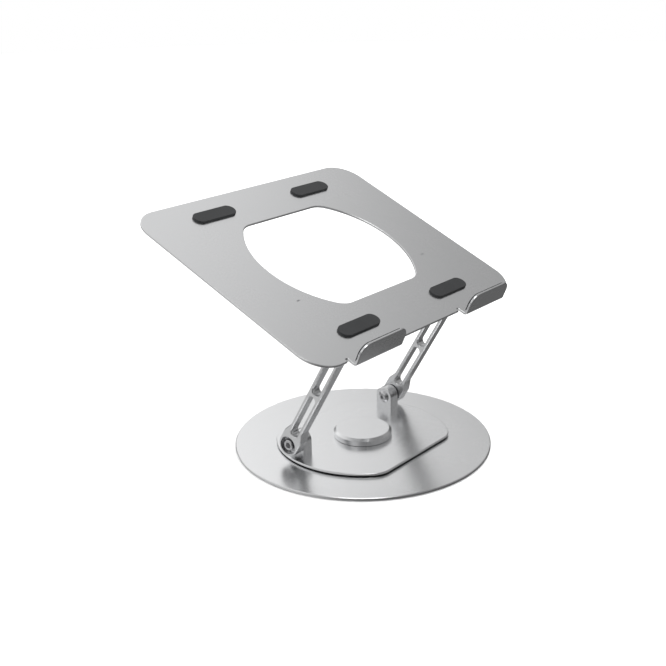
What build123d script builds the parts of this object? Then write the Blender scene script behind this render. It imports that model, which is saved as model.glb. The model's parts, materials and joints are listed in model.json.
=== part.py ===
"""Folding tablet stand: a turntable base, two slotted arms and a tilting tray with two lips.

Millimetres, +Z up.  The origin is the centre of the foot's underside, on the turntable's axis.
+X runs along the hinge pins, -Y faces the user, and the tray's lips are on the -Y side.
"""
import os
from math import cos, radians, sin, sqrt

from build123d import *

# ---------------------------------------------------------------- driving dimensions
# turntable
BASE_RADIUS = 117.0
BASE_THICKNESS = 2.8
BASE_CHAMFER = 0.6
FOOT_THICKNESS = 0.7
FOOT_INSET = 3.5
SHEET = 2.2
SHEET_CHAMFER = 0.45
PLATE_RADIUS = 79.5
PLATE_HALF_DEPTH = 62.6
PLATE_CORNER = 20.0
# centre pivot
HUB_RADIUS = 18.0
CAP_RADIUS = 26.6
CAP_HEIGHT = 6.8
CAP_BEVEL = 2.2
CAP_GAP = 0.25
BUSH_WALL = 1.5
BUSH_FLANGE_RADIUS = 33.0
BUSH_FLANGE = 1.0
CAP_WASHER_RADIUS = 24.0
CAP_RECESS = 1.0
CAP_SCREW_COUNT = 3
CAP_SCREW_RADIUS = 2.0
CAP_SCREW_CIRCLE = 11.0
CAP_SCREW_LENGTH = 8.0
# hinge lugs, the same on the swivel plate and under the tray
LUG_INNER_X = 58.0
LUG_THICKNESS = 11.0
LUG_RADIUS = 9.2
LUG_CHAMFER = 0.7
LUG_SCREW_RADIUS = 1.5
LUG_SCREW_OFFSET = 5.2
LUG_SCREW_LENGTH = 7.0
# arms
LOWER_PIVOT_Y = 20.2
LOWER_PIVOT_Z = 19.5
ARM_LENGTH = 126.5
ARM_LEAN = 30.0
ARM_THICKNESS = 10.0
ARM_HALF_WIDTH = 6.8
ARM_CHAMFER = 0.6
BOSS_RADIUS = 10.2
BOSS_STRAIGHT = 12.0
BOSS_TAPER = 9.5
BOSS_SHOULDER = 6.0
BOSS_HOLLOW = 3.0
SLOT_HALF_WIDTH = 4.0
SLOT_START = 12.8
BRIDGE_AT = 63.4
BRIDGE_HALF = 1.8
# hinge hardware
NUT_BARREL_RADIUS = 4.0
NUT_HEAD_RADIUS = 6.0
NUT_HEAD_HEIGHT = 2.8
NUT_HEX = 4.0
NUT_HEX_DEPTH = 1.7
BOLT_RADIUS = 3.0
BOLT_HEAD_RADIUS = 5.0
BOLT_CHAMFER = 0.6
BOLT_HEX = 5.0
BOLT_HEX_DEPTH = 3.0
BOLT_LENGTH = 12.0
BOLT_HEAD_SUNK = 0.3
COUNTERBORE_RADIUS = 8.3
ARM_FLOOR = 3.0
SPRING_WASHER = 1.0
SPRING_WASHER_RADIUS = 7.2
FRICTION_WASHER = 1.0
FRICTION_WASHER_RADIUS = 8.8
# countersunk screws, as parts of their shank's radius
SCREW_HEAD_HEIGHT = 0.9
SCREW_HEAD_RADIUS = 1.9
SCREW_SOCKET_RADIUS = 0.75
SCREW_SOCKET_DEPTH = 0.6
# tray
TRAY_TILT = 23.0
TRAY_HALF_WIDTH = 141.0
TRAY_BACK = 232.5
TRAY_FRONT = 3.0
TRAY_CORNER = 26.0
TRAY_PIVOT_BACK = 30.6
CUTOUT_CENTRE = 119.9
CUTOUT_KERF = 0.2
LIP_INNER_X = 47.0
LIP_OUTER_X = 106.0
LIP_TOP = 18.6
LIP_CORNER = 10.5
BEND_RADIUS = 0.9
RELIEF_WIDTH = 2.4
RELIEF_DEPTH = 3.0
LIP_PAD_THICKNESS = 1.8
LIP_PAD_INSET = 1.6
LIP_PAD_BOTTOM = 1.6
TRAY_PAD_THICKNESS = 2.0
TRAY_PAD_HALF_WIDTH = 7.0
TRAY_PAD_HALF_LENGTH = 24.0
REAR_PAD_Y = 207.0
RACK_SLOT_X = 86.4
RACK_SLOT_Y = 79.1
RACK_SLOT_LENGTH = 4.0
RACK_SLOT_WIDTH = 1.4
# clearances
RUNNING = 0.05
SEAT = 0.02
FACE_GAP = 0.05
BOSS_GAP = 0.4

# ---------------------------------------------------------------- derived places
BASE_TOP = FOOT_THICKNESS + BASE_THICKNESS
PLATE_BOTTOM = BASE_TOP + BUSH_FLANGE
PLATE_TOP = PLATE_BOTTOM + SHEET
CAP_BOTTOM = PLATE_TOP + CAP_GAP
LUG_OUTER_X = LUG_INNER_X + LUG_THICKNESS
ARM_INNER_X = LUG_OUTER_X + FRICTION_WASHER
ARM_OUTER_X = ARM_INNER_X + ARM_THICKNESS
ARM_FLOOR_X = ARM_INNER_X + ARM_FLOOR
BOLT_SEAT_X = ARM_FLOOR_X + SPRING_WASHER
BUSH_RADIUS = HUB_RADIUS + RUNNING + BUSH_WALL
UPPER_PIVOT_Y = LOWER_PIVOT_Y - ARM_LENGTH * sin(radians(ARM_LEAN))
UPPER_PIVOT_Z = LOWER_PIVOT_Z + ARM_LENGTH * cos(radians(ARM_LEAN))
TRAY_PIVOT_DROP = BOSS_RADIUS + BOSS_GAP + SHEET
LIP_BACK = -LIP_PAD_THICKNESS
LIP_FRONT = LIP_BACK - SHEET
BEND_OUTER = BEND_RADIUS + SHEET
SIDES = {"left": -1, "right": 1}

# the tray is drawn flat: y = 0 where the tablet's edge rests, z = 0 on its top face
TRAY_PLACE = (
    Pos(0, UPPER_PIVOT_Y, UPPER_PIVOT_Z)
    * Rot(TRAY_TILT, 0, 0)
    * Pos(0, -TRAY_PIVOT_BACK, TRAY_PIVOT_DROP)
)
# an arm is drawn upright in the YZ plane: z runs from its lower to its upper pivot
ARM_PLACE = Pos(0, LOWER_PIVOT_Y, LOWER_PIVOT_Z) * Rot(ARM_LEAN, 0, 0)
UPPER_PIN_PLACE = Pos(0, UPPER_PIVOT_Y, UPPER_PIVOT_Z)
LOWER_PIN_PLACE = Pos(0, LOWER_PIVOT_Y, LOWER_PIVOT_Z)


# ---------------------------------------------------------------- helpers
def disc(radius, height, z=0.0):
    """A round disc standing on z."""
    return Pos(0, 0, z) * Cylinder(radius, height, align=(Align.CENTER, Align.CENTER, Align.MIN))


def pin(radius, x_start, x_end):
    """A round bar along X."""
    length = x_end - x_start
    bar = Cylinder(radius, length, align=(Align.CENTER, Align.CENTER, Align.MIN))
    return Pos(x_start, 0, 0) * Rot(0, 90, 0) * bar


def hex_pocket(across_flats, x_start, x_end):
    """A hexagonal bar along X, for cutting a key socket."""
    key = RegularPolygon(across_flats / sqrt(3), 6)
    bar = extrude(key, x_end - x_start)
    return Pos(x_start, 0, 0) * Rot(0, 90, 0) * bar


def both_sides(piece):
    """A piece and its mirror image across the YZ plane."""
    return [piece, mirror(piece, about=Plane.YZ)]


def on_side(piece, side):
    """A piece drawn on the +X side, moved to the named side."""
    return piece if SIDES[side] > 0 else mirror(piece, about=Plane.YZ)


def rounded_plate_outline(radius, half_depth, corner):
    """A circle cut by two straight sides, with its four corners rounded."""
    outline = Circle(radius) & Rectangle(4 * radius, 2 * half_depth)
    return fillet(outline.vertices(), corner)


def countersunk_screw(radius, length):
    """A countersunk machine screw hanging from z = 0, head up."""
    hanging = (Align.CENTER, Align.CENTER, Align.MAX)
    head = Cone(radius, radius * SCREW_HEAD_RADIUS, radius * SCREW_HEAD_HEIGHT, align=hanging)
    shank = Cylinder(radius, length, align=hanging)
    key = RegularPolygon(radius * SCREW_SOCKET_RADIUS, 6)
    socket = extrude(key, -radius * SCREW_SOCKET_DEPTH)
    return head + shank - socket


def countersunk_hole(radius, depth):
    """The hole for a countersunk screw: its cone, open above z = 0, and a bore."""
    hanging = (Align.CENTER, Align.CENTER, Align.MAX)
    wide = radius * SCREW_HEAD_RADIUS + SEAT
    cone = Cone(radius + SEAT, wide, radius * SCREW_HEAD_HEIGHT, align=hanging)
    bore = Cylinder(radius + SEAT, depth, align=hanging)
    return cone + disc(wide, SEAT) + bore


# ---------------------------------------------------------------- turntable
def cap_screw_places():
    """Three screws from below, into the cap's hub."""
    turned_over = Rot(180, 0, 0)
    return [
        Rot(0, 0, 90 + index * 360 / CAP_SCREW_COUNT)
        * Pos(CAP_SCREW_CIRCLE, 0, FOOT_THICKNESS)
        * turned_over
        for index in range(CAP_SCREW_COUNT)
    ]


def make_base_disc():
    plate = disc(BASE_RADIUS, BASE_THICKNESS, FOOT_THICKNESS)
    plate = chamfer(plate.edges().filter_by(GeomType.CIRCLE), BASE_CHAMFER)
    hole = countersunk_hole(CAP_SCREW_RADIUS, CAP_SCREW_LENGTH)
    return plate - [place * hole for place in cap_screw_places()]


def make_foot_pad():
    """Soft sheet under the whole base disc; it also covers the cap's screws."""
    return disc(BASE_RADIUS - FOOT_INSET, FOOT_THICKNESS)


def make_pivot_cap():
    head = disc(CAP_RADIUS, CAP_HEIGHT, CAP_BOTTOM)
    rim = head.edges().filter_by(GeomType.CIRCLE).sort_by(Axis.Z)
    head = chamfer(rim[-1], CAP_BEVEL)
    recess = disc(CAP_WASHER_RADIUS + SEAT, CAP_RECESS, CAP_BOTTOM)
    hub = disc(HUB_RADIUS, CAP_BOTTOM + CAP_RECESS - BASE_TOP, BASE_TOP)
    hole = countersunk_hole(CAP_SCREW_RADIUS, CAP_SCREW_LENGTH + SEAT)
    return head - recess + hub - [place * hole for place in cap_screw_places()]


def make_cap_screws():
    screw = countersunk_screw(CAP_SCREW_RADIUS, CAP_SCREW_LENGTH)
    return [place * screw for place in cap_screw_places()]


def make_cap_washer():
    """Low-friction ring in the cap's recess, pressed on the swivel plate."""
    bottom = PLATE_TOP + FACE_GAP
    height = CAP_BOTTOM + CAP_RECESS - bottom
    return disc(CAP_WASHER_RADIUS, height, bottom) - disc(HUB_RADIUS + SEAT, height, bottom)


def make_pivot_bush():
    """Flanged sleeve pressed in the swivel plate, turning on the cap's hub."""
    bottom = BASE_TOP + FACE_GAP
    flange = disc(BUSH_FLANGE_RADIUS, PLATE_BOTTOM - bottom, bottom)
    sleeve = disc(BUSH_RADIUS, PLATE_TOP - bottom, bottom)
    return flange + sleeve - disc(HUB_RADIUS + RUNNING, PLATE_TOP - bottom, bottom)


def lug_screw_places(pivot_y):
    """Two screws in each of the right and left lugs, in line along Y."""
    x = LUG_INNER_X + LUG_THICKNESS / 2
    return [
        Pos(side * x, pivot_y + end * LUG_SCREW_OFFSET, 0)
        for side in SIDES.values()
        for end in (-1, 1)
    ]


def lower_lug_screw_places():
    under = Pos(0, 0, PLATE_BOTTOM)
    return [under * place * Rot(180, 0, 0) for place in lug_screw_places(LOWER_PIVOT_Y)]


def make_swivel_plate():
    outline = rounded_plate_outline(PLATE_RADIUS, PLATE_HALF_DEPTH, PLATE_CORNER)
    plate = extrude(outline, SHEET)
    rims = plate.edges().filter_by(Plane.XY)
    plate = Pos(0, 0, PLATE_BOTTOM) * chamfer(rims, SHEET_CHAMFER)
    hub_hole = disc(BUSH_RADIUS + SEAT, SHEET, PLATE_BOTTOM)
    hole = countersunk_hole(LUG_SCREW_RADIUS, LUG_SCREW_LENGTH)
    return plate - hub_hole - [place * hole for place in lower_lug_screw_places()]


# ---------------------------------------------------------------- lugs and hinge hardware
def make_lug(foot_distance):
    """A hinge lug on the +X side: round about the pin, its foot at foot_distance below."""
    side = Circle(LUG_RADIUS) + Pos(0, -foot_distance / 2) * Rectangle(2 * LUG_RADIUS, foot_distance)
    lug = extrude(Plane.YZ.offset(LUG_INNER_X) * side, LUG_THICKNESS)
    face_edges = lug.edges().group_by(Axis.X)
    rims = face_edges[0] + face_edges[-1]
    foot_rims = rims.filter_by(lambda edge: edge.center().Z < -foot_distance + SEAT)
    lug = chamfer([edge for edge in rims if edge not in foot_rims], LUG_CHAMFER)
    return lug - pin(NUT_BARREL_RADIUS + SEAT, LUG_INNER_X, LUG_OUTER_X)


def make_lower_lug(side):
    lug = LOWER_PIN_PLACE * make_lug(LOWER_PIVOT_Z - PLATE_TOP)
    hole = countersunk_hole(LUG_SCREW_RADIUS, LUG_SCREW_LENGTH + SEAT)
    return on_side(lug, side) - [place * hole for place in lower_lug_screw_places()]


def tray_lug_screw_places():
    return [TRAY_PLACE * place for place in lug_screw_places(TRAY_PIVOT_BACK)]


def make_tray_lug(side):
    lug = Rot(180, 0, 0) * make_lug(TRAY_PIVOT_DROP - SHEET)
    lug = TRAY_PLACE * Pos(0, TRAY_PIVOT_BACK, -TRAY_PIVOT_DROP) * lug
    hole = countersunk_hole(LUG_SCREW_RADIUS, LUG_SCREW_LENGTH + SEAT)
    return on_side(lug, side) - [place * hole for place in tray_lug_screw_places()]


def make_lug_screws(places):
    screw = countersunk_screw(LUG_SCREW_RADIUS, LUG_SCREW_LENGTH)
    return [place * screw for place in places]


def make_sleeve_nuts(place):
    """Button-headed barrel nuts, put in from between the lugs."""
    barrel_end = ARM_FLOOR_X - FACE_GAP
    dome_radius = (NUT_HEAD_RADIUS**2 + NUT_HEAD_HEIGHT**2) / (2 * NUT_HEAD_HEIGHT)
    head_seat_x = LUG_INNER_X - FACE_GAP
    head_face_x = head_seat_x - NUT_HEAD_HEIGHT
    dome = Pos(head_face_x + dome_radius, 0, 0) * Sphere(dome_radius)
    head = dome & pin(NUT_HEAD_RADIUS, head_face_x, head_seat_x)
    nut = head + pin(NUT_BARREL_RADIUS, head_seat_x, barrel_end)
    nut -= hex_pocket(NUT_HEX, head_face_x, head_face_x + NUT_HEX_DEPTH)
    nut -= pin(BOLT_RADIUS + SEAT, BOLT_SEAT_X - BOLT_LENGTH - SEAT, barrel_end)
    return [place * piece for piece in both_sides(nut)]


def make_hinge_bolts(place):
    """Socket head screws sunk in the arms' bosses, in the sleeve nuts."""
    face_x = ARM_OUTER_X - BOLT_HEAD_SUNK
    head = pin(BOLT_HEAD_RADIUS, BOLT_SEAT_X, face_x)
    head = chamfer(head.edges().filter_by(GeomType.CIRCLE).sort_by(Axis.X)[-1], BOLT_CHAMFER)
    bolt = head + pin(BOLT_RADIUS, BOLT_SEAT_X - BOLT_LENGTH, BOLT_SEAT_X)
    bolt -= hex_pocket(BOLT_HEX, face_x - BOLT_HEX_DEPTH, face_x)
    return [place * piece for piece in both_sides(bolt)]


def make_spring_washers(place):
    start = ARM_FLOOR_X + FACE_GAP
    washer = pin(SPRING_WASHER_RADIUS, start, BOLT_SEAT_X) - pin(BOLT_RADIUS + SEAT, start, BOLT_SEAT_X)
    return [place * piece for piece in both_sides(washer)]


def make_friction_washers(place):
    start = LUG_OUTER_X + FACE_GAP
    washer = pin(FRICTION_WASHER_RADIUS, start, ARM_INNER_X)
    washer -= pin(NUT_BARREL_RADIUS + RUNNING, start, ARM_INNER_X)
    return [place * piece for piece in both_sides(washer)]


# ---------------------------------------------------------------- arms
def boss_outline():
    """One end of an arm about its pivot at the origin, opening towards +Y of the sketch."""
    wide_end = (BOSS_RADIUS, BOSS_STRAIGHT)
    narrow_end = (ARM_HALF_WIDTH, BOSS_STRAIGHT + BOSS_TAPER)
    sides = Polygon(
        (-BOSS_RADIUS, 0),
        (BOSS_RADIUS, 0),
        wide_end,
        narrow_end,
        (-narrow_end[0], narrow_end[1]),
        (-wide_end[0], wide_end[1]),
        align=None,
    )
    return Circle(BOSS_RADIUS) + sides


def arm_outline():
    """The arm's outline with its shoulders rounded, without slots."""
    lower = boss_outline()
    upper = Pos(0, ARM_LENGTH) * Rot(0, 0, 180) * lower
    beam = Pos(0, ARM_LENGTH / 2) * Rectangle(2 * ARM_HALF_WIDTH, ARM_LENGTH)
    outline = lower + beam + upper
    for reach, across, radius in (
        (BOSS_STRAIGHT, BOSS_RADIUS, BOSS_SHOULDER),
        (BOSS_STRAIGHT + BOSS_TAPER, ARM_HALF_WIDTH, BOSS_HOLLOW),
    ):
        corners = [
            vertex
            for vertex in outline.vertices()
            if abs(abs(vertex.X) - across) < SEAT
            and abs(abs(vertex.Y - ARM_LENGTH / 2) - (ARM_LENGTH / 2 - reach)) < SEAT
        ]
        outline = fillet(corners, radius)
    return outline


def slot(start, end):
    """A round-ended slot along the arm."""
    middle = (start + end) / 2
    return Pos(0, middle) * Rot(0, 0, 90) * SlotOverall(end - start, 2 * SLOT_HALF_WIDTH)


def make_arm(side):
    """A slotted arm with a round boss at each end, drawn on the +X side."""
    outline = arm_outline()
    outline -= slot(SLOT_START, BRIDGE_AT - BRIDGE_HALF)
    outline -= slot(BRIDGE_AT + BRIDGE_HALF, ARM_LENGTH - SLOT_START)
    arm = extrude(Plane.YZ.offset(ARM_INNER_X) * outline, ARM_THICKNESS)
    rims = arm.edges().group_by(Axis.X)
    arm = chamfer(rims[0] + rims[-1], ARM_CHAMFER)
    for z in (0, ARM_LENGTH):
        arm -= Pos(0, 0, z) * pin(NUT_BARREL_RADIUS + RUNNING, ARM_INNER_X, ARM_OUTER_X)
        arm -= Pos(0, 0, z) * pin(COUNTERBORE_RADIUS, ARM_FLOOR_X, ARM_OUTER_X)
    return on_side(ARM_PLACE * arm, side)


# ---------------------------------------------------------------- tray
def tray_pad_places():
    """The front pads cover the lug screws; the rear pads are in line behind them."""
    x = LUG_INNER_X + LUG_THICKNESS / 2
    return [
        Pos(side * x, y, 0)
        for side in SIDES.values()
        for y in (TRAY_PIVOT_BACK, REAR_PAD_Y)
    ]


def make_tray_sheet():
    """The flat of the tray, with the swivel plate's outline cut from it."""
    depth = TRAY_BACK - TRAY_FRONT
    blank = Pos(0, TRAY_FRONT + depth / 2) * RectangleRounded(2 * TRAY_HALF_WIDTH, depth, TRAY_CORNER)
    window = rounded_plate_outline(
        PLATE_RADIUS + CUTOUT_KERF, PLATE_HALF_DEPTH + CUTOUT_KERF, PLATE_CORNER
    )
    blank -= Pos(0, CUTOUT_CENTRE) * window
    sheet = extrude(blank, -SHEET)
    return chamfer(sheet.edges().filter_by(Plane.XY), SHEET_CHAMFER)


def make_lip():
    """A tab of the sheet bent up in front of the tray, on the +X side."""
    bend_start = LIP_BACK + BEND_RADIUS
    section = Polyline(
        (TRAY_FRONT + RELIEF_DEPTH, -SHEET),
        (bend_start, -SHEET),
    )
    section += RadiusArc((bend_start, -SHEET), (LIP_FRONT, BEND_RADIUS), BEND_OUTER)
    section += Polyline(
        (LIP_FRONT, BEND_RADIUS),
        (LIP_FRONT, LIP_TOP),
        (LIP_BACK, LIP_TOP),
        (LIP_BACK, BEND_RADIUS),
    )
    section += RadiusArc((LIP_BACK, BEND_RADIUS), (bend_start, 0), -BEND_RADIUS)
    section += Polyline(
        (bend_start, 0),
        (TRAY_FRONT + RELIEF_DEPTH, 0),
        (TRAY_FRONT + RELIEF_DEPTH, -SHEET),
    )
    profile = make_face(section)
    lip = extrude(Plane.YZ.offset(LIP_INNER_X) * profile, LIP_OUTER_X - LIP_INNER_X)
    uprights = lip.edges().filter_by(Axis.Y).group_by(Axis.Z)[-1]
    lip = fillet(uprights, LIP_CORNER)
    return lip


def make_tray_plate():
    relief = Box(RELIEF_WIDTH, RELIEF_DEPTH, SHEET, align=(Align.CENTER, Align.MIN, Align.MAX))
    reliefs = [
        Pos(side * x, TRAY_FRONT, 0) * relief
        for side in SIDES.values()
        for x in (LIP_INNER_X - RELIEF_WIDTH / 2, LIP_OUTER_X + RELIEF_WIDTH / 2)
    ]
    rack_slot = extrude(SlotOverall(RACK_SLOT_LENGTH, RACK_SLOT_WIDTH), -SHEET)
    rack_slots = [Pos(side * RACK_SLOT_X, RACK_SLOT_Y, 0) * rack_slot for side in SIDES.values()]
    tray = make_tray_sheet() - reliefs - rack_slots
    for lip in both_sides(make_lip()):
        tray += lip
    hole = countersunk_hole(LUG_SCREW_RADIUS, LUG_SCREW_LENGTH)
    tray = TRAY_PLACE * tray
    return tray - [place * hole for place in tray_lug_screw_places()]


def make_lip_pad(side):
    """Soft pad on the inside of a lip."""
    width = LIP_OUTER_X - LIP_INNER_X - 2 * LIP_PAD_INSET
    height = LIP_TOP - LIP_PAD_INSET - LIP_PAD_BOTTOM
    face = Rectangle(width, height)
    face = fillet(face.vertices().group_by(Axis.Y)[-1], LIP_CORNER - LIP_PAD_INSET)
    pad = extrude(Plane.XZ.offset(-LIP_BACK) * face, -(LIP_PAD_THICKNESS - FACE_GAP))
    centre = Pos((LIP_INNER_X + LIP_OUTER_X) / 2, 0, LIP_PAD_BOTTOM + height / 2)
    return on_side(TRAY_PLACE * centre * pad, side)


def make_tray_pads():
    """Four round-ended soft pads that carry the tablet."""
    pad = extrude(
        SlotOverall(2 * TRAY_PAD_HALF_LENGTH, 2 * TRAY_PAD_HALF_WIDTH), TRAY_PAD_THICKNESS
    )
    return [TRAY_PLACE * place * pad for place in tray_pad_places()]


# ---------------------------------------------------------------- the parts
def build():
    nodes = {
        "base_disc": make_base_disc(),
        "foot_pad": make_foot_pad(),
        "pivot_cap": make_pivot_cap(),
        "cap_screws": make_cap_screws(),
        "cap_washer": make_cap_washer(),
        "pivot_bush": make_pivot_bush(),
        "swivel_plate": make_swivel_plate(),
        "lower_lug_screws": make_lug_screws(lower_lug_screw_places()),
        "lower_sleeve_nuts": make_sleeve_nuts(LOWER_PIN_PLACE),
        "lower_hinge_bolts": make_hinge_bolts(LOWER_PIN_PLACE),
        "lower_spring_washers": make_spring_washers(LOWER_PIN_PLACE),
        "lower_friction_washers": make_friction_washers(LOWER_PIN_PLACE),
        "upper_sleeve_nuts": make_sleeve_nuts(UPPER_PIN_PLACE),
        "upper_hinge_bolts": make_hinge_bolts(UPPER_PIN_PLACE),
        "upper_spring_washers": make_spring_washers(UPPER_PIN_PLACE),
        "upper_friction_washers": make_friction_washers(UPPER_PIN_PLACE),
        "tray_plate": make_tray_plate(),
        "tray_lug_screws": make_lug_screws(tray_lug_screw_places()),
        "tray_pads": make_tray_pads(),
    }
    for side in SIDES:
        nodes[f"{side}_lug"] = make_lower_lug(side)
        nodes[f"{side}_arm"] = make_arm(side)
        nodes[f"{side}_tray_lug"] = make_tray_lug(side)
        nodes[f"{side}_lip_pad"] = make_lip_pad(side)
    return nodes


os.makedirs("parts", exist_ok=True)
for name, piece in build().items():
    solids = piece if isinstance(piece, list) else [piece]
    shape = Compound(children=solids) if len(solids) > 1 else solids[0]
    export_step(shape, f"parts/{name}.step")
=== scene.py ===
"""Looks of the folding tablet stand: blasted aluminium, cut edges, silicone pads and bright screws.

Outlines and edge profiles are drawn flat, in millimetres, and placed in metres.  An outer outline
runs anticlockwise and a hole clockwise, so the metal is always on the left of the line.
"""
import json
from math import atan2, ceil, cos, degrees, hypot, pi, radians, sin, sqrt, tan

import bmesh
import bpy
from mathutils import Matrix, Vector
from mathutils.geometry import tessellate_polygon


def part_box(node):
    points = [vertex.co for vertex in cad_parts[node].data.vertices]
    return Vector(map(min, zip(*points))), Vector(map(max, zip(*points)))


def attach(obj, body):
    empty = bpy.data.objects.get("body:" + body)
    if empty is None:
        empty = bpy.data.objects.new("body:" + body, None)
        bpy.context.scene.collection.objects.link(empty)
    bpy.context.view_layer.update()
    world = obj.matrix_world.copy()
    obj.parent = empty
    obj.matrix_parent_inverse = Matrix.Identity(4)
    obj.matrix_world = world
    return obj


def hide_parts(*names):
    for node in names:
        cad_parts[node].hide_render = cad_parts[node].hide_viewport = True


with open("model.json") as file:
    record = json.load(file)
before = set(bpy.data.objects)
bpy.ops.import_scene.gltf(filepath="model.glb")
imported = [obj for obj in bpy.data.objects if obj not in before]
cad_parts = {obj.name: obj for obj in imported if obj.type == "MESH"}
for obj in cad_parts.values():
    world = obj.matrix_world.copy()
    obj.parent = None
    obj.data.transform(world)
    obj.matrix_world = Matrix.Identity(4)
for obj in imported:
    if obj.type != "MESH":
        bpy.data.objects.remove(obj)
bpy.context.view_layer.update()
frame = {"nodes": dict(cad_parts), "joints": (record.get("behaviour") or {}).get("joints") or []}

# ---------------------------------------------------------------- edges, in millimetres
MM = 0.001
EASE = 0.07
SAME_PLACE = EASE / 10
MOUTH_EDGE = 0.2

# ---------------------------------------------------------------- curve steps, in degrees
ARC_STEP = 5.0
RIM_STEP = 1.5
CAP_STEP = 3
SCREW_STEP = 15
SOFT_STEP = 15
CRISP_ANGLE = 35

# ---------------------------------------------------------------- sizes, in millimetres

DISC_BEVEL = 0.6
FOOT_ROUND = 0.25
SHEET_BEVEL = 0.45
PLATE_CORNER = 20.0
HUB_RADIUS = 18.0
PLATE_BORE_RADIUS = 19.57
CAP_HEIGHT = 6.8
CAP_BEVEL = 2.2
CAP_LAND = 1.0
CAP_RECESS = 1.0
CAP_RECESS_RADIUS = 24.02
CAP_SCREW_CIRCLE = 11.0
CAP_SCREW_COUNT = 3
CAP_SCREW_RADIUS = 2.02
CAP_SCREW_DEPTH = 5.2
LUG_SCREW_RADIUS = 1.52
LUG_SCREW_OFFSET = 5.2
COUNTERSINK = 1.8
LUG_RADIUS = 9.2
LUG_SPARE = 2.0
LUG_BEVEL = 0.7
LUG_BORE = 4.02

BOSS_STRAIGHT = 12.0
BOSS_TAPER = 9.5
BOSS_SHOULDER = 6.0
BOSS_HOLLOW = 3.0
ARM_HALF_WIDTH = 6.8
ARM_BEVEL = 0.6
SLOT_HALF_WIDTH = 4.0
SLOT_START = 12.8
BRIDGE_AT = 63.4
BRIDGE_HALF = 1.8
COUNTERBORE_RADIUS = 8.3
ARM_BORE = 4.05
ARM_FLOOR = 3.0

NUT_HEAD_RADIUS = 6.0
NUT_HEAD_HEIGHT = 2.8
NUT_BARREL_RADIUS = 4.0
NUT_HEX = 4.0
NUT_HEX_DEPTH = 1.7
BOLT_HEAD_RADIUS = 5.0
BOLT_RADIUS = 3.0
BOLT_HEX = 5.0
BOLT_HEX_DEPTH = 3.0
BOLT_LENGTH = 12.0
BOLT_EDGE = 0.6
BOLT_LAND = 0.5
NUT_DOME_STEP = 0.35
NUT_DOME_RINGS = 10
NUT_MOUTH_DROP = 0.1
NUT_MOUTH_EDGE = 0.15
NUT_SEAT_X = 57.95
NUT_END_X = 72.95
NUT_BORE_DEPTH = 10.95
WASHER_BORE = 4.05
WASHER_THICKNESS = 0.95
SPRING_WASHER_RADIUS = 7.2
SPRING_WASHER_BEVEL = 0.15
FRICTION_WASHER_RADIUS = 8.8
FRICTION_WASHER_BEVEL = 0.1
# hinge pieces are drawn at their own distance from the middle, so their pairs need almost none
PAIR_SPREAD = 0.0001

SHEET = 2.2
TRAY_BACK = 232.5
TRAY_FRONT = 3.0
TRAY_CORNER = 26.0
TRAY_PIVOT_BACK = 30.6
TRAY_PIVOT_DROP = 12.8
WINDOW_CENTRE = 119.9
WINDOW_KERF = 0.2
LIP_INNER_X = 47.0
LIP_OUTER_X = 106.0
LIP_TOP = 18.6
LIP_CORNER = 10.5
LIP_BACK = -1.8
BEND_RADIUS = 0.9
BEND_CUTS = 8
RELIEF_WIDTH = 2.4
RELIEF_DEPTH = 3.0
RELIEF_CORNER = 0.8
LIP_PAD_THICKNESS = 1.75
LIP_PAD_INSET = 1.6
LIP_PAD_BOTTOM = 1.6
LIP_PAD_FOOT_CORNER = 0.4
LIP_PAD_ROUND = 0.4
PAD_THICKNESS = 2.0
PAD_HALF_WIDTH = 7.0
PAD_HALF_LENGTH = 24.0
PAD_ROUND = 0.5
REAR_PAD_Y = 207.0
RACK_SLOT_X = 86.4
RACK_SLOT_Y = 79.1
RACK_SLOT_HALF_LENGTH = 2.0
RACK_SLOT_HALF_WIDTH = 0.7
# a round end's corner, as a share of its half width
RACK_SLOT_ROUND = 0.98
PAD_END_ROUND = 0.999

FLOOR_RADIUS = 4000
FLOOR_DEPTH = 20

# ---------------------------------------------------------------- places, from the frame
JOINTS = {joint["name"]: joint for joint in frame["joints"]}


def span(node):
    """Lowest and highest corner of a CAD node, in millimetres."""
    low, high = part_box(node)
    return low / MM, high / MM


LOWER_PIVOT = Vector(JOINTS["arm_fold"]["pos_m"])
UPPER_PIVOT = Vector(JOINTS["tray_tilt"]["pos_m"])
ARM_RUN = UPPER_PIVOT - LOWER_PIVOT
ARM_LENGTH = ARM_RUN.length / MM
ARM_LEAN = atan2(-ARM_RUN.y, ARM_RUN.z)
TRAY_TILT = radians(-JOINTS["tray_tilt"]["range_deg"][0])

METRES = Matrix.Scale(MM, 4)
# drawn flat, then stood up so that its thickness runs along X
ACROSS = Matrix(((0, 0, 1, 0), (1, 0, 0, 0), (0, 1, 0, 0), (0, 0, 0, 1)))
ARM_PLACE = Matrix.Translation(LOWER_PIVOT) @ Matrix.Rotation(ARM_LEAN, 4, "X") @ METRES
LOWER_PIN_PLACE = Matrix.Translation(LOWER_PIVOT) @ METRES
UPPER_PIN_PLACE = Matrix.Translation(UPPER_PIVOT) @ METRES
TRAY_TURN = Matrix.Translation(UPPER_PIVOT) @ Matrix.Rotation(TRAY_TILT, 4, "X") @ METRES
TRAY_PLACE = TRAY_TURN @ Matrix.Translation((0, -TRAY_PIVOT_BACK, TRAY_PIVOT_DROP))


# ---------------------------------------------------------------- outlines
def arc(centre, radius, start, end, step=ARC_STEP):
    """Points on an arc between two angles in degrees, both ends included."""
    steps = max(2, ceil(abs(end - start) / step))
    angles = [radians(start + (end - start) * i / steps) for i in range(steps + 1)]
    return [(centre[0] + radius * cos(a), centre[1] + radius * sin(a)) for a in angles]


def circle(radius, centre=(0, 0), step=ARC_STEP):
    return arc(centre, radius, 0, 360, step)[:-1]


def hexagon(across_flats):
    return circle(across_flats / sqrt(3), step=60)


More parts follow.
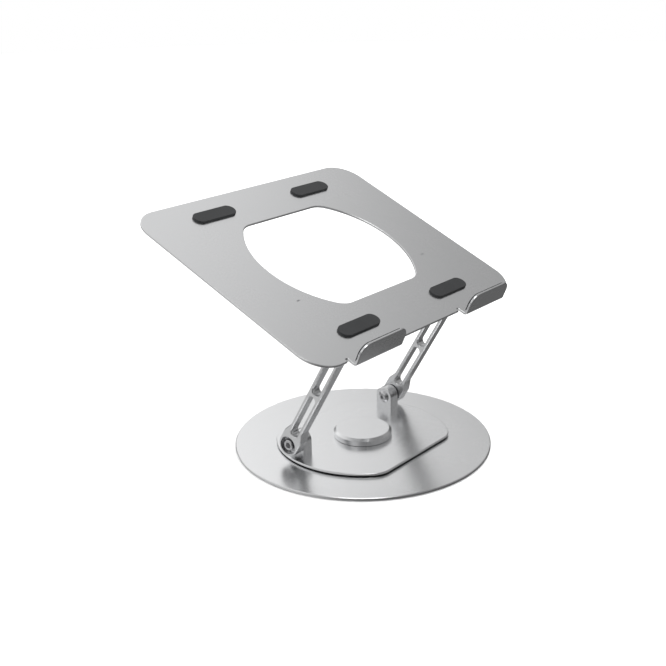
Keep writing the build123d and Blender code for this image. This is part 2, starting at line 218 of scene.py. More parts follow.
def rounded(corners, step=ARC_STEP):
    """A closed outline through (x, y, radius) corners, given in order."""
    points = []
    for i, (x, y, radius) in enumerate(corners):
        corner = Vector((x, y))
        before = (Vector(corners[i - 1][:2]) - corner).normalized()
        after = (Vector(corners[(i + 1) % len(corners)][:2]) - corner).normalized()
        if radius == 0:
            points.append((x, y))
            continue
        half = before.angle(after) / 2
        middle = corner + (before + after).normalized() * radius / sin(half)
        first = corner + before * radius / tan(half) - middle
        last = corner + after * radius / tan(half) - middle
        start = degrees(atan2(first.y, first.x))
        sweep = (degrees(atan2(last.y, last.x)) - start + 180) % 360 - 180
        points += arc(middle, radius, start, start + sweep, step)
    steps = zip(points[-1:] + points, points)
    return [p for before, p in steps if hypot(p[0] - before[0], p[1] - before[1]) > SAME_PLACE]


def rectangle(low, high, radius):
    """A rounded rectangle between two corners."""
    (x0, y0), (x1, y1) = low, high
    return rounded([(x0, y0, radius), (x1, y0, radius), (x1, y1, radius), (x0, y1, radius)])


def hole(points, centre=(0, 0)):
    """An outline turned into a hole: run backwards, and moved."""
    return [(x + centre[0], y + centre[1]) for x, y in reversed(points)]


def flat_sided(radius, half_depth, corner):
    """A circle cut by two straight sides, with its four corners rounded."""
    reach, rise = radius - corner, half_depth - corner
    across = sqrt(reach**2 - rise**2)
    turn = degrees(atan2(rise, across))
    quarter = arc((across, rise), corner, turn, 90)
    top_left = [(-x, y) for x, y in reversed(quarter)]
    upper = arc((0, 0), radius, 0, turn, RIM_STEP)[:-1] + quarter + top_left
    upper += arc((0, 0), radius, 180 - turn, 180, RIM_STEP)[1:-1]
    return upper + [(-x, -y) for x, y in upper]


def shifted(points, inset):
    """The outline moved into the metal, to the left of its line."""
    moved = []
    for i, (x, y) in enumerate(points):
        back = Vector((x, y)) - Vector(points[i - 1])
        ahead = Vector(points[(i + 1) % len(points)]) - Vector((x, y))
        left_back = Vector((-back.y, back.x)).normalized()
        left_ahead = Vector((-ahead.y, ahead.x)).normalized()
        mitre = (left_back + left_ahead).normalized()
        reach = inset / mitre.dot(left_ahead)
        moved.append((x + mitre.x * reach, y + mitre.y * reach))
    return moved


# ---------------------------------------------------------------- edge profiles
# each a list of (inset, height) points, rising
def eased(profile, ease=EASE):
    """The profile with each of its inner corners cut by a hair, as a real edge is."""
    points = [Vector(p) for p in profile]
    cut = [points[0]]
    for before, corner, after in zip(points, points[1:], points[2:]):
        cut.append(corner + (before - corner).normalized() * ease)
        cut.append(corner + (after - corner).normalized() * ease)
    return [tuple(p) for p in cut + [points[-1]]]


def bevelled(low, high, bevel):
    """A square edge with the same bevel below and above."""
    land = bevel + 3 * EASE
    return eased([
        (land, low),
        (bevel, low),
        (0, low + bevel),
        (0, high - bevel),
        (bevel, high),
        (land, high),
    ])


def softened(low, high, radius, bottom=True):
    """A moulded edge, round above and, if asked, below."""
    turns = [radians(a) for a in range(0, 91, SOFT_STEP)]
    top = [(radius - radius * cos(a), high - radius + radius * sin(a)) for a in turns]
    under = [(inset, low + high - z) for inset, z in reversed(top)] if bottom else [(0, low)]
    return [(3 * radius, low)] + under + top + [(3 * radius, high)]


def countersunk(low, high):
    """A screw's hole, wide at the low side."""
    return [(-COUNTERSINK, low), (0, low + COUNTERSINK), (0, high)]


# ---------------------------------------------------------------- meshes
def slab(name, *loops):
    """A solid from its outer outline and its holes, each (points, profile, where it opens).

    A hole opens at "both" faces, at the "top" or at the "bottom".  Sloping bands take the second
    finish and the upright bands of the outer outline the third, where a piece has one.
    """
    vertices, faces, kinds = [], [], []
    ends = {"top": [], "bottom": []}
    for number, (points, profile, opens) in enumerate(loops):
        count, rings = len(points), len(profile)
        first = len(vertices)
        for inset, height in profile:
            vertices += [(x, y, height) for x, y in shifted(points, inset)]
        for ring, (low, high) in enumerate(zip(profile, profile[1:])):
            upright = abs(low[0] - high[0]) < SAME_PLACE
            slopes = not upright and abs(low[1] - high[1]) > SAME_PLACE
            kind = 1 if slopes else 2 if upright and number == 0 else 0
            start = first + ring * count
            for i in range(count):
                a, b = start + i, start + (i + 1) % count
                faces.append((a, b, b + count, a + count))
                kinds.append(kind)
        bottom_ring = list(range(first, first + count))
        top_ring = [i + (rings - 1) * count for i in bottom_ring]
        for end, ring, upwards in (("bottom", bottom_ring, False), ("top", top_ring, True)):
            if opens in (end, "both"):
                ends[end].append(ring)
            else:
                caps = filled(vertices, [ring], not upwards)
                faces += caps
                kinds += [0] * len(caps)
    for end, rings in ends.items():
        caps = filled(vertices, rings, end == "top")
        faces += caps
        kinds += [0] * len(caps)
    mesh = bpy.data.meshes.new(name)
    mesh.from_pydata(vertices, [], faces)
    mesh.polygons.foreach_set("material_index", kinds)
    return mesh


def filled(vertices, rings, upwards):
    """Triangles between an outline and its holes, facing up or down."""
    order = [i for ring in rings for i in ring]
    flat = [[Vector((vertices[i][0], vertices[i][1], 0)) for i in ring] for ring in rings]
    triangles = []
    for a, b, c in tessellate_polygon(flat):
        ia, ib, ic = order[a], order[b], order[c]
        (ax, ay, _), (bx, by, _), (cx, cy, _) = vertices[ia], vertices[ib], vertices[ic]
        area = (bx - ax) * (cy - ay) - (by - ay) * (cx - ax)
        triangles.append((ia, ib, ic) if (area > 0) == upwards else (ia, ic, ib))
    return triangles


def mirrored(mesh, name):
    """The mesh's mirror image across the YZ plane."""
    twin = mesh.copy()
    twin.name = name
    twin.transform(Matrix.Scale(-1, 4, (1, 0, 0)))
    twin.flip_normals()
    return twin


def reshaped(mesh, change):
    """Runs a change on the mesh's editable form."""
    shape = bmesh.new()
    shape.from_mesh(mesh)
    change(shape)
    shape.to_mesh(mesh)
    shape.free()


def piece(name, mesh, body, finishes, nodes):
    """A finished piece that stands for its CAD nodes: edges crisp, faces even."""
    obj = bpy.data.objects.new(name, mesh)
    bpy.context.scene.collection.objects.link(obj)
    mesh.materials.clear()
    for finish in finishes:
        mesh.materials.append(finish)
    # a band whose finish this piece doesn't have takes the first one
    kinds = [face.material_index for face in mesh.polygons]
    kinds = [kind if kind < len(finishes) else 0 for kind in kinds]
    mesh.polygons.foreach_set("material_index", kinds)
    mesh.polygons.foreach_set("use_smooth", [True] * len(mesh.polygons))
    mesh.set_sharp_from_angle(angle=radians(CRISP_ANGLE))
    even = obj.modifiers.new("even_faces", "WEIGHTED_NORMAL")
    even.mode = "FACE_AREA"
    even.keep_sharp = True
    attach(obj, body)
    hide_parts(*nodes)


# ---------------------------------------------------------------- finishes, as sums of sockets
class Wire:
    """A node's output that can be used in sums."""

    def __init__(self, tree, socket):
        self.tree = tree
        self.socket = socket

    def sum(self, operation, first, second):
        return self.tree.node("ShaderNodeMath", {"operation": operation}, {0: first, 1: second})

    def __add__(self, other):
        return self.sum("ADD", self, other)

    def __sub__(self, other):
        return self.sum("SUBTRACT", self, other)

    def __mul__(self, other):
        return self.sum("MULTIPLY", self, other)

    def __rsub__(self, other):
        return self.sum("SUBTRACT", other, self)

    __radd__ = __add__
    __rmul__ = __mul__


class NodeTree:
    """The nodes of one finish, or of the surroundings."""

    def __init__(self, owner):
        owner.use_nodes = True
        self.owner = owner
        self.nodes = owner.node_tree.nodes
        self.links = owner.node_tree.links
        self.nodes.clear()

    def node(self, kind, settings=None, inputs=None, output=0):
        """Adds a node: its settings first, then the values or wires of its sockets."""
        made = self.nodes.new(kind)
        for key, value in (settings or {}).items():
            setattr(made, key, value)
        for key, value in (inputs or {}).items():
            if isinstance(value, Wire):
                self.links.new(value.socket, made.inputs[key])
            else:
                made.inputs[key].default_value = value
        return Wire(self, made.outputs[output]) if len(made.outputs) else made

    def noise(self, place, scale, detail=2.0, roughness=0.5):
        """Soft noise between 0 and 1, with its size given in cells per metre."""
        inputs = {"Vector": place, "Scale": scale, "Detail": detail, "Roughness": roughness}
        return self.node("ShaderNodeTexNoise", {"noise_dimensions": "3D"}, inputs)

    def between(self, low, high, share):
        """A colour between two others."""
        inputs = {"Factor": share, 6: (*low, 1), 7: (*high, 1)}
        return self.node("ShaderNodeMix", {"data_type": "RGBA"}, inputs, output=2)


def surface(name, build):
    """A material whose surface inputs and bump come from build(tree, place)."""
    material = bpy.data.materials.new(name)
    tree = NodeTree(material)
    place = tree.node("ShaderNodeTexCoord", output="Object")
    inputs, bump = build(tree, place)
    inputs["Normal"] = tree.node("ShaderNodeBump", {}, bump)
    shader = tree.node("ShaderNodeBsdfPrincipled", {}, inputs)
    tree.node("ShaderNodeOutputMaterial", {}, {"Surface": shader})
    return material


def blasted_aluminium(name, roughness, dark, light):
    """Bead-blasted, clear anodised: an even fine grain under a faint cloudiness."""

    def build(tree, place):
        grain = tree.noise(place, 2200, 3)
        fine = tree.noise(place, 5200, 1)
        cloud = tree.noise(place, 22, 3)
        share = cloud * 0.55 + grain * 0.45
        inputs = {
            "Base Color": tree.between(dark, light, share),
            "Metallic": 1.0,
            "Roughness": roughness - 0.04 + cloud * 0.05 + grain * 0.06,
        }
        height = grain * 0.6 + fine * 0.4
        return inputs, {"Height": height, "Strength": 0.10, "Distance": 0.00004}

    return surface(name, build)


def cut_edge(name):
    """A bright edge left by a fly cutter: smooth, with faint hair lines."""

    def build(tree, place):
        lines = tree.noise(place, 3800, 2)
        inputs = {
            "Base Color": tree.between((0.84, 0.845, 0.855), (0.93, 0.933, 0.94), lines),
            "Metallic": 1.0,
            "Roughness": 0.10 + lines * 0.10,
        }
        return inputs, {"Height": lines, "Strength": 0.05, "Distance": 0.00002}

    return surface(name, build)


def steel(name, low, high, roughness):
    """Machine-screw steel: slightly uneven shine."""

    def build(tree, place):
        marks = tree.noise(place, 1500, 4)
        inputs = {
            "Base Color": tree.between(low, high, marks),
            "Metallic": 1.0,
            "Roughness": roughness + marks * 0.14,
        }
        return inputs, {"Height": marks, "Strength": 0.12, "Distance": 0.00003}

    return surface(name, build)


def moulded(name, low, high, roughness, grain_size):
    """A matt moulded polymer with a fine texture."""

    def build(tree, place):
        grain = tree.noise(place, grain_size, 3)
        cloud = tree.noise(place, 40, 2)
        inputs = {
            "Base Color": tree.between(low, high, cloud * 0.5 + grain * 0.5),
            "Metallic": 0.0,
            "Roughness": roughness + grain * 0.12,
            "IOR": 1.43,
        }
        return inputs, {"Height": grain, "Strength": 0.25, "Distance": 0.00006}

    return surface(name, build)


SATIN = blasted_aluminium("satin_aluminium", 0.25, (0.775, 0.780, 0.790), (0.840, 0.844, 0.850))
# painted shade: the blasted aluminium again, but nearly black, so that edges set in shadow come out
# dark
PAINTED_SHADE = blasted_aluminium("painted_shade_edge", 0.25, (0.090, 0.091, 0.094), (0.130, 0.131, 0.134))
CUT = cut_edge("cut_aluminium_edge")
SCREW_STEEL = steel("screw_steel", (0.52, 0.52, 0.53), (0.68, 0.68, 0.69), 0.16)
WASHER_STEEL = steel("washer_steel", (0.42, 0.42, 0.43), (0.56, 0.56, 0.57), 0.26)
SILICONE = moulded("black_silicone", (0.016, 0.017, 0.018), (0.034, 0.035, 0.037), 0.52, 1400)
BLACK_POLYMER = moulded(
    "black_washer_polymer", (0.02, 0.02, 0.022), (0.05, 0.05, 0.053), 0.38, 2600
)
WHITE_ACETAL = moulded("white_acetal", (0.78, 0.78, 0.76), (0.86, 0.86, 0.84), 0.34, 2600)


# ---------------------------------------------------------------- what repeats
def pairs_tree():
    """Geometry nodes that set a piece out in rows of two, the far one of each pair turned round."""
    tree = bpy.data.node_groups.new("pairs", "GeometryNodeTree")
    for name, kind in (
        ("Piece", "NodeSocketObject"),
        ("Across", "NodeSocketFloat"),
        ("Along", "NodeSocketFloat"),
        ("Rows", "NodeSocketInt"),
        ("Finish", "NodeSocketMaterial"),
    ):
        tree.interface.new_socket(name, in_out="INPUT", socket_type=kind)
    tree.interface.new_socket("Geometry", in_out="OUTPUT", socket_type="NodeSocketGeometry")

    def add(kind, **inputs):
        node = tree.nodes.new(kind)
        for key, value in inputs.items():
            if isinstance(value, bpy.types.NodeSocket):
                tree.links.new(value, node.inputs[key.replace("_", " ")])
            else:
                node.inputs[key.replace("_", " ")].default_value = value
        return node

    given = tree.nodes.new("NodeGroupInput").outputs
    grid = add(
        "GeometryNodeMeshGrid",
        Size_X=given["Across"],
        Size_Y=given["Along"],
        Vertices_X=2,
        Vertices_Y=given["Rows"],
    )
    source = add("GeometryNodeObjectInfo", Object=given["Piece"])
    where = tree.nodes.new("GeometryNodeInputPosition")
    parts = tree.nodes.new("ShaderNodeSeparateXYZ")
    tree.links.new(where.outputs[0], parts.inputs[0])
    far = tree.nodes.new("ShaderNodeMath")
    far.operation = "LESS_THAN"
    tree.links.new(parts.outputs["X"], far.inputs[0])
    far.inputs[1].default_value = 0.0
    turn = tree.nodes.new("ShaderNodeMath")
    turn.operation = "MULTIPLY"
    tree.links.new(far.outputs[0], turn.inputs[0])
    turn.inputs[1].default_value = pi
    angles = add("ShaderNodeCombineXYZ", Z=turn.outputs[0])
    spots = add(
        "GeometryNodeInstanceOnPoints",
        Points=grid.outputs["Mesh"],
        Instance=source.outputs["Geometry"],
        Rotation=angles.outputs[0],
    )
    real = add("GeometryNodeRealizeInstances", Geometry=spots.outputs[0])
    coat = add("GeometryNodeSetMaterial", Geometry=real.outputs[0], Material=given["Finish"])
    tree.links.new(coat.outputs[0], tree.nodes.new("NodeGroupOutput").inputs[0])
    return tree


PAIRS = pairs_tree()


def in_pairs(mesh, finish, across, along=0.0, rows=1):
    """The mesh set out in rows of two about the origin, as one plain mesh."""
    source = bpy.data.objects.new("source", mesh)
    host = bpy.data.objects.new("host", bpy.data.meshes.new("host"))
    for obj in (source, host):
        bpy.context.scene.collection.objects.link(obj)
    maker = host.modifiers.new("pairs", "NODES")
    maker.node_group = PAIRS
    values = {"Piece": source, "Across": across, "Along": along, "Rows": rows, "Finish": finish}
    for item in PAIRS.interface.items_tree:
        if item.in_out == "INPUT":
            maker[item.identifier] = values[item.name]
    graph = bpy.context.evaluated_depsgraph_get()
    made = bpy.data.meshes.new_from_object(host.evaluated_get(graph), depsgraph=graph)
    for obj in (host, source):
        bpy.data.objects.remove(obj)
    return made


# ---------------------------------------------------------------- turntable
def screw_loop(centre, radius, low, high, opens="both"):
    return hole(circle(radius, step=SCREW_STEP), centre), countersunk(low, high), opens


def cap_screw_centres():
    turns = [radians(90 + 360 / CAP_SCREW_COUNT * i) for i in range(CAP_SCREW_COUNT)]
    return [(CAP_SCREW_CIRCLE * cos(a), CAP_SCREW_CIRCLE * sin(a)) for a in turns]


def make_base_disc():
    low, high = span("base_disc")
    rim = circle(high.x, step=RIM_STEP)
    screws = [screw_loop(c, CAP_SCREW_RADIUS, low.z, high.z) for c in cap_screw_centres()]
    mesh = slab("base_disc_metal", (rim, bevelled(low.z, high.z, DISC_BEVEL), "both"), *screws)
    mesh.transform(METRES)
    # the disc's bevels take the nearly black aluminium, which is painted shade
    piece("base_disc_metal", mesh, "base", [SATIN, PAINTED_SHADE], ["base_disc"])


def make_foot_pad():
    low, high = span("foot_pad")
    mesh = slab(
        "foot_pad_sheet",
        (circle(high.x, step=RIM_STEP), softened(low.z, high.z, FOOT_ROUND), "both"),
    )
    mesh.transform(METRES)
    piece("foot_pad_sheet", mesh, "base", [SILICONE], ["foot_pad"])


def make_pivot_cap():
    low, high = span("pivot_cap")
    radius = high.x
    skirt = high.z - CAP_HEIGHT
    profile = eased([
        (radius - HUB_RADIUS + CAP_LAND, low.z),
        (radius - HUB_RADIUS, low.z),
        (radius - HUB_RADIUS, skirt + CAP_RECESS),
        (radius - CAP_RECESS_RADIUS, skirt + CAP_RECESS),
        (radius - CAP_RECESS_RADIUS, skirt),
        (0, skirt),
        (0, high.z - CAP_BEVEL),
        (CAP_BEVEL, high.z),
        (CAP_BEVEL + CAP_LAND, high.z),
    ])
    bore = [(0, low.z), (0, low.z + CAP_SCREW_DEPTH)]
    bores = [
        (hole(circle(CAP_SCREW_RADIUS, step=SCREW_STEP), c), bore, "bottom")
        for c in cap_screw_centres()
    ]
    mesh = slab("pivot_cap_turned", (circle(radius, step=CAP_STEP), profile, "both"), *bores)
    mesh.transform(METRES)
    piece("pivot_cap_turned", mesh, "base", [SATIN, CUT, CUT], ["pivot_cap"])


def lug_screw_centres(middle_x, middle_y):
    return [
        (side * middle_x, middle_y + end * LUG_SCREW_OFFSET) for side in (-1, 1) for end in (-1, 1)
    ]


def make_swivel_plate():
    low, high = span("swivel_plate")
    lug_low, lug_high = span("right_lug")
    outline = flat_sided(high.x, high.y, PLATE_CORNER)
    middle = (lug_low + lug_high) / 2
    centres = lug_screw_centres(middle.x, middle.y)
    holes = [screw_loop(c, LUG_SCREW_RADIUS, low.z, high.z) for c in centres]
    mesh = slab(
        "swivel_plate_sheet",
        (outline, bevelled(low.z, high.z, SHEET_BEVEL), "both"),
        (hole(circle(PLATE_BORE_RADIUS)), [(0, low.z), (0, high.z)], "both"),
        *holes,
    )
    mesh.transform(METRES)
    # the plate's rim wall takes the nearly black aluminium, which is painted shade
    finishes = [SATIN, CUT, PAINTED_SHADE]
    piece("swivel_plate_sheet", mesh, "turntable", finishes, ["swivel_plate"])


# ---------------------------------------------------------------- lugs
def make_lug(name, node, foot, place, body, upside_down=False):
    """A lug and its mirror image: round over the pin, cut off square at its foot."""
    low, high = span(node.format("right"))
    radius, drop = LUG_RADIUS, -(foot + LUG_SPARE)
    base = [(-radius, drop, 0), (radius, drop, 0)]
    outline = rounded(base + [(radius, radius, radius), (-radius, radius, radius)])
    bore = (hole(circle(LUG_BORE)), [(0, low.x), (0, high.x)], "both")
    mesh = slab(name, (outline, bevelled(low.x, high.x, LUG_BEVEL), "both"), bore)

    def cut_foot(shape):
        geometry = shape.verts[:] + shape.edges[:] + shape.faces[:]
        cut = bmesh.ops.bisect_plane(
            shape, geom=geometry, plane_co=(0, -foot, 0), plane_no=(0, -1, 0), clear_outer=True
        )
        rim = [e for e in cut["geom_cut"] if isinstance(e, bmesh.types.BMEdge)]
        bmesh.ops.contextual_create(shape, geom=rim)
        bmesh.ops.recalc_face_normals(shape, faces=shape.faces)

    reshaped(mesh, cut_foot)
    mesh.transform(ACROSS)
    if upside_down:
        mesh.transform(Matrix.Rotation(pi, 4, "X"))
    mesh.transform(place)
    twin = mirrored(mesh, name)
    for side, form in (("right", mesh), ("left", twin)):
        piece(f"{side}_{name}", form, body, [SATIN, CUT], [node.format(side)])


# ---------------------------------------------------------------- hinge hardware
def bolt_mesh(face_x, seat_x):
    """A socket head screw along X: plain head and shank, hex socket."""
    head = eased([
        (BOLT_HEAD_RADIUS - BOLT_RADIUS + BOLT_LAND, seat_x - BOLT_LENGTH),
        (BOLT_HEAD_RADIUS - BOLT_RADIUS, seat_x - BOLT_LENGTH),
        (BOLT_HEAD_RADIUS - BOLT_RADIUS, seat_x),
        (0, seat_x),
        (0, face_x - BOLT_EDGE),
        (BOLT_EDGE, face_x),
        (BOLT_EDGE + BOLT_LAND, face_x),
    ], EASE / 2)
    socket = [(0, face_x - BOLT_HEX_DEPTH), (0, face_x - MOUTH_EDGE), (MOUTH_EDGE, face_x)]
    mesh = slab(
        "bolt",
        (circle(BOLT_HEAD_RADIUS), head, "both"),
        (hole(hexagon(BOLT_HEX)), socket, "top"),
    )
    mesh.transform(ACROSS)
    return mesh


def nut_mesh(seat_x, end_x):
    """A domed sleeve nut along X, its head towards the middle of the stand."""
    ball = (NUT_HEAD_RADIUS**2 + NUT_HEAD_HEIGHT**2) / (2 * NUT_HEAD_HEIGHT)
    crown = -(seat_x - NUT_HEAD_HEIGHT)
    widths = [NUT_HEAD_RADIUS - NUT_DOME_STEP * i for i in range(NUT_DOME_RINGS)]
    dome = [(NUT_HEAD_RADIUS - w, crown - ball + sqrt(ball**2 - w**2)) for w in widths]
    barrel = [
        (NUT_HEAD_RADIUS - NUT_BARREL_RADIUS + BOLT_LAND, -end_x),
        (NUT_HEAD_RADIUS - NUT_BARREL_RADIUS, -end_x),
        (NUT_HEAD_RADIUS - NUT_BARREL_RADIUS, -seat_x),
    ]
    crest = dome[-1][1]
    socket = [(0, crest - NUT_HEX_DEPTH), (0, crest - NUT_MOUTH_DROP), (NUT_MOUTH_EDGE, crest)]
    bore = (hole(circle(BOLT_RADIUS)), [(0, -end_x), (0, -end_x + NUT_BORE_DEPTH)], "bottom")
    mesh = slab(
        "nut",
        (circle(NUT_HEAD_RADIUS), barrel + dome, "both"),
        (hole(hexagon(NUT_HEX)), socket, "top"),
        bore,
    )
    mesh.transform(ACROSS)
    mesh.transform(Matrix.Rotation(pi, 4, "Z"))
    return mesh


def ring_mesh(radius, bore, low, high, bevel):
    """A flat ring along X."""
    mesh = slab(
        "ring",
        (circle(radius), bevelled(low, high, bevel), "both"),
        (hole(circle(bore)), [(0, low), (0, high)], "both"),
    )
    mesh.transform(ACROSS)
    return mesh


def make_hinge_hardware(end, place, pin_body):
    """The bolts, sleeve nuts and washers of one end of the arms."""
    _, bolts = span(f"{end}_hinge_bolts")
    _, springs = span(f"{end}_spring_washers")
    _, frictions = span(f"{end}_friction_washers")
    spring = ring_mesh(
        SPRING_WASHER_RADIUS,
        BOLT_RADIUS,
        springs.x - WASHER_THICKNESS,
        springs.x,
        SPRING_WASHER_BEVEL,
    )
    friction = ring_mesh(
        FRICTION_WASHER_RADIUS,
        WASHER_BORE,
        frictions.x - WASHER_THICKNESS,
        frictions.x,
        FRICTION_WASHER_BEVEL,
    )
    rows = (
        ("hinge_bolts", bolt_mesh(bolts.x, springs.x), SCREW_STEEL, pin_body, "steel_screw"),
        ("sleeve_nuts", nut_mesh(NUT_SEAT_X, NUT_END_X), SCREW_STEEL, pin_body, "steel_screw"),
        ("spring_washers", spring, WASHER_STEEL, pin_body, "steel_washer"),
        ("friction_washers", friction, BLACK_POLYMER, "arms", "polymer_washer"),
    )
    for name, mesh, finish, body, slot in rows:
        made = in_pairs(mesh, finish, PAIR_SPREAD)
        made.transform(place)
        piece(f"{end}_{name}_pair", made, body, [finish], [f"{end}_{name}"])


# ---------------------------------------------------------------- arms
def arm_outline():
    """The arm's outline, its pivots on the middle line at 0 and ARM_LENGTH."""
    boss = (span("right_arm")[1].z - span("right_arm")[0].z - ARM_LENGTH * cos(ARM_LEAN)) / 2
    shoulder, neck = BOSS_STRAIGHT, BOSS_STRAIGHT + BOSS_TAPER
    right = [
        (boss, -boss, boss),
        (boss, shoulder, BOSS_SHOULDER),
        (ARM_HALF_WIDTH, neck, BOSS_HOLLOW),
        (ARM_HALF_WIDTH, ARM_LENGTH - neck, BOSS_HOLLOW),
        (boss, ARM_LENGTH - shoulder, BOSS_SHOULDER),
        (boss, ARM_LENGTH + boss, boss),
    ]
    left = [(-x, y, radius) for x, y, radius in reversed(right)]
    return rounded(right + left)


def make_arms():
    low, high = span("right_arm")
    edge = bevelled(low.x, high.x, ARM_BEVEL)
    lower_slot = (SLOT_START, BRIDGE_AT - BRIDGE_HALF)
    upper_slot = (BRIDGE_AT + BRIDGE_HALF, ARM_LENGTH - SLOT_START)
    width = SLOT_HALF_WIDTH
    openings = [
        (hole(rectangle((-width, start), (width, end), width)), edge, "both")
        for start, end in (lower_slot, upper_slot)
    ]
    floor = low.x + ARM_FLOOR
    step = ARM_BORE - COUNTERBORE_RADIUS
    counterbore = [
        (step, low.x),
        (step, floor),
        (0, floor),
        (0, high.x - MOUTH_EDGE),
        (MOUTH_EDGE, high.x),
    ]
    bores = [
        (hole(circle(COUNTERBORE_RADIUS), (0, y)), counterbore, "both") for y in (0, ARM_LENGTH)
    ]
    mesh = slab("right_arm_beam", (arm_outline(), edge, "both"), *openings, *bores)
    mesh.transform(ARM_PLACE @ ACROSS)
    twin = mirrored(mesh, "left_arm_beam")
    for side, form in (("right", mesh), ("left", twin)):
        piece(f"{side}_arm_beam", form, "arms", [SATIN, CUT], [f"{side}_arm"])


# ---------------------------------------------------------------- tray
def folded(y, z):
    """Where a point of the flat sheet goes when the lip is bent up."""
    start = LIP_BACK + BEND_RADIUS
    neutral = BEND_RADIUS + SHEET / 2
    beyond = start - y
    if beyond <= 0:
        return y, z
    radius = BEND_RADIUS - z
    quarter = neutral * pi / 2
    if beyond < quarter:
        turn = beyond / neutral
        return start - radius * sin(turn), BEND_RADIUS - radius * cos(turn)
    return start - radius, BEND_RADIUS + beyond - quarter


def tray_outline():
    """The sheet in the flat, with its two tabs and the reliefs beside them."""
    half = span("tray_plate")[1].x
    neutral = BEND_RADIUS + SHEET / 2
    tab_end = LIP_BACK + BEND_RADIUS - neutral * pi / 2 - (LIP_TOP - BEND_RADIUS)
    relief = TRAY_FRONT + RELIEF_DEPTH
    right = [
        (LIP_INNER_X - RELIEF_WIDTH, TRAY_FRONT, RELIEF_CORNER),
        (LIP_INNER_X - RELIEF_WIDTH, relief, RELIEF_CORNER),
        (LIP_INNER_X, relief, RELIEF_CORNER),
        (LIP_INNER_X, tab_end, LIP_CORNER),
        (LIP_OUTER_X, tab_end, LIP_CORNER),
        (LIP_OUTER_X, relief, RELIEF_CORNER),
        (LIP_OUTER_X + RELIEF_WIDTH, relief, RELIEF_CORNER),
        (LIP_OUTER_X + RELIEF_WIDTH, TRAY_FRONT, RELIEF_CORNER),
        (half, TRAY_FRONT, TRAY_CORNER),
        (half, TRAY_BACK, TRAY_CORNER),
    ]
    left = [(-x, y, radius) for x, y, radius in reversed(right)]
    return rounded(right + left)


def make_tray():
    edge = bevelled(-SHEET, 0, SHEET_BEVEL)
    plate = span("swivel_plate")[1]
    window = flat_sided(plate.x + WINDOW_KERF, plate.y + WINDOW_KERF, PLATE_CORNER)
    length, width = RACK_SLOT_HALF_LENGTH, RACK_SLOT_HALF_WIDTH
    rack_slot = rectangle((-length, -width), (length, width), width * RACK_SLOT_ROUND)
    slots = [
        (hole(rack_slot, (side * RACK_SLOT_X, RACK_SLOT_Y)), [(0, -SHEET), (0, 0)], "both")
        for side in (-1, 1)
    ]
    mesh = slab(
        "tray_sheet",
        (tray_outline(), edge, "both"),
        (hole(window, (0, WINDOW_CENTRE)), edge, "both"),
        *slots,
    )

    def fold(shape):
        start = LIP_BACK + BEND_RADIUS
        quarter = (BEND_RADIUS + SHEET / 2) * pi / 2
        for i in range(BEND_CUTS + 1):
            geometry = shape.verts[:] + shape.edges[:] + shape.faces[:]
            line = (0, start - quarter * i / BEND_CUTS, 0)
            bmesh.ops.bisect_plane(shape, geom=geometry, plane_co=line, plane_no=(0, 1, 0))
        for vertex in shape.verts:
            vertex.co.y, vertex.co.z = folded(vertex.co.y, vertex.co.z)

    reshaped(mesh, fold)
    mesh.transform(TRAY_PLACE)
    piece("tray_sheet", mesh, "tray", [SATIN, CUT], ["tray_plate"])


def make_lip_pads():
    low = (LIP_INNER_X + LIP_PAD_INSET, LIP_PAD_BOTTOM)
    high = (LIP_OUTER_X - LIP_PAD_INSET, LIP_TOP - LIP_PAD_INSET)
    corner = LIP_CORNER - LIP_PAD_INSET
    outline = rounded([
        (low[0], low[1], LIP_PAD_FOOT_CORNER),
        (high[0], low[1], LIP_PAD_FOOT_CORNER),
        (high[0], high[1], corner),
        (low[0], high[1], corner),
    ])
    mesh = slab("lip_pad", (outline, softened(0, LIP_PAD_THICKNESS, LIP_PAD_ROUND), "both"))
    upright = Matrix(((1, 0, 0, 0), (0, 0, -1, 0), (0, 1, 0, 0), (0, 0, 0, 1)))
    back = Matrix.Translation((0, LIP_BACK + LIP_PAD_THICKNESS, 0))
    mesh.transform(TRAY_PLACE @ back @ upright)
    twin = mirrored(mesh, "lip_pad")
    for side, form in (("right", mesh), ("left", twin)):
        piece(f"{side}_lip_cushion", form, "tray", [SILICONE], [f"{side}_lip_pad"])


def make_tray_pads():
    length, width = PAD_HALF_LENGTH, PAD_HALF_WIDTH
    outline = rectangle((-length, -width), (length, width), width * PAD_END_ROUND)
    mesh = slab("pad", (outline, softened(0, PAD_THICKNESS, PAD_ROUND, bottom=False), "both"))
    across = span("right_lug")[0].x + span("right_lug")[1].x
    made = in_pairs(mesh, SILICONE, across, REAR_PAD_Y - TRAY_PIVOT_BACK, 2)
    made.transform(TRAY_PLACE @ Matrix.Translation((0, (REAR_PAD_Y + TRAY_PIVOT_BACK) / 2, 0)))
    piece("tray_cushions", made, "tray", [SILICONE], ["tray_pads"])


# ---------------------------------------------------------------- room
def make_floor():
    mesh = slab("floor", (circle(FLOOR_RADIUS), [(0, -FLOOR_DEPTH), (0, 0)], "both"))
    mesh.transform(METRES)
    floor = bpy.data.objects.new("floor", mesh)
    bpy.context.scene.collection.objects.link(floor)
    mesh.materials.append(moulded("pale_floor", (0.90, 0.90, 0.90), (0.92, 0.92, 0.92), 0.9, 3))
    floor.visible_glossy = False


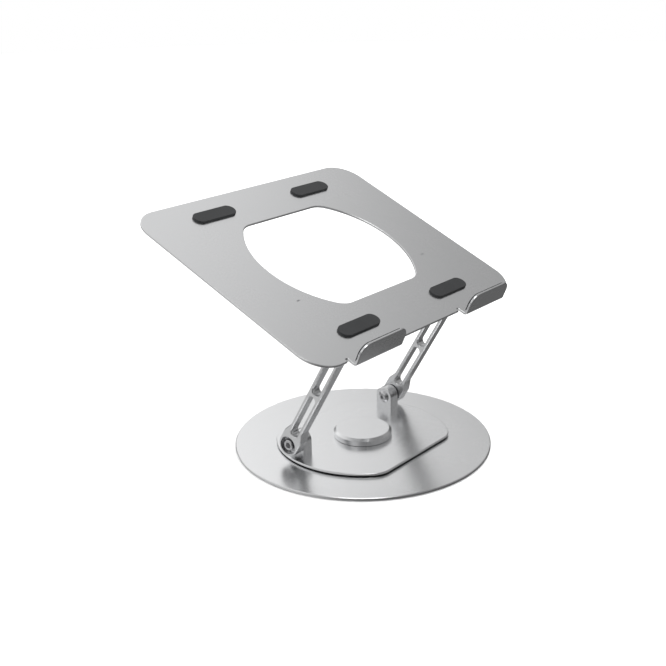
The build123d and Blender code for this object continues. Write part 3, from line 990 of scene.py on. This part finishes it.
def make_surroundings():
    """A graded room for the metal to reflect, plain white to the eye and to matt faces."""
    to_eye, to_matt, horizon = 1.0, 1.7, 0.04
    world = bpy.data.worlds.new("room")
    bpy.context.scene.world = world
    tree = NodeTree(world)
    towards = tree.node("ShaderNodeTexCoord", output="Generated")
    split = tree.node("ShaderNodeSeparateXYZ", {}, {0: towards})
    parts = split.socket.node.outputs
    x, y, z = (Wire(tree, parts[axis]) for axis in "XYZ")

    def ramp(value, start, stop, low, high):
        return tree.node(
            "ShaderNodeMapRange",
            {"interpolation_type": "SMOOTHSTEP"},
            {"Value": value, "From Min": start, "From Max": stop, "To Min": low, "To Max": high},
        )

    floor_light = ramp(y * 0.9 - x * 0.3, -0.4, 0.8, 0.13, 0.60)
    back_wall = ramp(y * 0.7 - x * 0.4 + z * 0.6, 0.14, 0.52, 0.36, 1.12)
    wall_light = back_wall * ramp(x, -0.8, 0.2, 0.66, 1.0)
    ceiling_light = ramp(y, -0.15, 0.35, 0.25, 0.80)
    above = wall_light + ramp(z, 0.48, 0.75, 0.0, 1.0) * (ceiling_light - wall_light)
    open_room = floor_light + ramp(z, -0.05, 0.15, 0.0, 1.0) * (above - floor_light)
    from_horizon = z - horizon
    light = open_room * ramp(from_horizon * from_horizon, 0.001, 0.06, 0.3, 1.0)
    seen = tree.node("ShaderNodeLightPath", output="Is Camera Ray")
    matt = tree.node("ShaderNodeLightPath", output="Is Diffuse Ray")
    strength = light + seen * (to_eye - light) + matt * (to_matt - light)
    shown = tree.node("ShaderNodeBackground", {}, {"Color": (1, 1, 1, 1), "Strength": strength})
    tree.node("ShaderNodeOutputWorld", {}, {"Surface": shown})


def make_lamp(name, shining, spread, power):
    """A far, broad lamp that shines one way, with its spread in degrees."""
    lamp = bpy.data.lights.new(name, "SUN")
    lamp.angle = radians(spread)
    lamp.energy = power
    obj = bpy.data.objects.new(name, lamp)
    obj.rotation_euler = Vector(shining).to_track_quat("-Z", "Y").to_euler()
    bpy.context.scene.collection.objects.link(obj)


def make_camera():
    """To the front left, looking down a little on the stand."""
    place = Vector((-0.71739, -0.57668, 0.43921))
    turn, rise, roll = radians(-49.61), radians(19.88), radians(-1.08)
    back = Vector((sin(turn) * cos(rise), -cos(turn) * cos(rise), sin(rise)))
    level = Vector((cos(turn), sin(turn), 0))
    upright = back.cross(level)
    right = cos(roll) * level + sin(roll) * upright
    up = cos(roll) * upright - sin(roll) * level
    camera = bpy.data.cameras.new("camera")
    camera.lens = 59.32
    obj = bpy.data.objects.new("camera", camera)
    axes = Matrix((right, up, back)).transposed().to_4x4()
    obj.matrix_world = Matrix.Translation(place) @ axes
    bpy.context.scene.collection.objects.link(obj)
    bpy.context.scene.camera = obj


make_base_disc()
make_foot_pad()
make_pivot_cap()
make_swivel_plate()
lug_foot = LOWER_PIVOT.z / MM - span("swivel_plate")[1].z
tray_lug_foot = TRAY_PIVOT_DROP - SHEET
make_lug("lug_block", "{}_lug", lug_foot, LOWER_PIN_PLACE, "turntable")
make_lug("tray_lug_block", "{}_tray_lug", tray_lug_foot, TRAY_TURN, "tray", upside_down=True)
make_hinge_hardware("lower", LOWER_PIN_PLACE, "turntable")
make_hinge_hardware("upper", UPPER_PIN_PLACE, "upper_pins")
make_arms()
make_tray()
make_lip_pads()
make_tray_pads()
for node, finish in (
    ("cap_screws", SCREW_STEEL),
    ("lower_lug_screws", SCREW_STEEL),
    ("tray_lug_screws", SCREW_STEEL),
    ("cap_washer", BLACK_POLYMER),
    ("pivot_bush", WHITE_ACETAL),
):
    slots = frame["nodes"][node].data.materials
    slots.clear()
    slots.append(finish)
make_floor()
make_surroundings()
make_lamp("key", (0.28, 0.20, -0.93), 34, 0.6)
make_camera()
bpy.context.scene.view_settings.view_transform = "Standard"
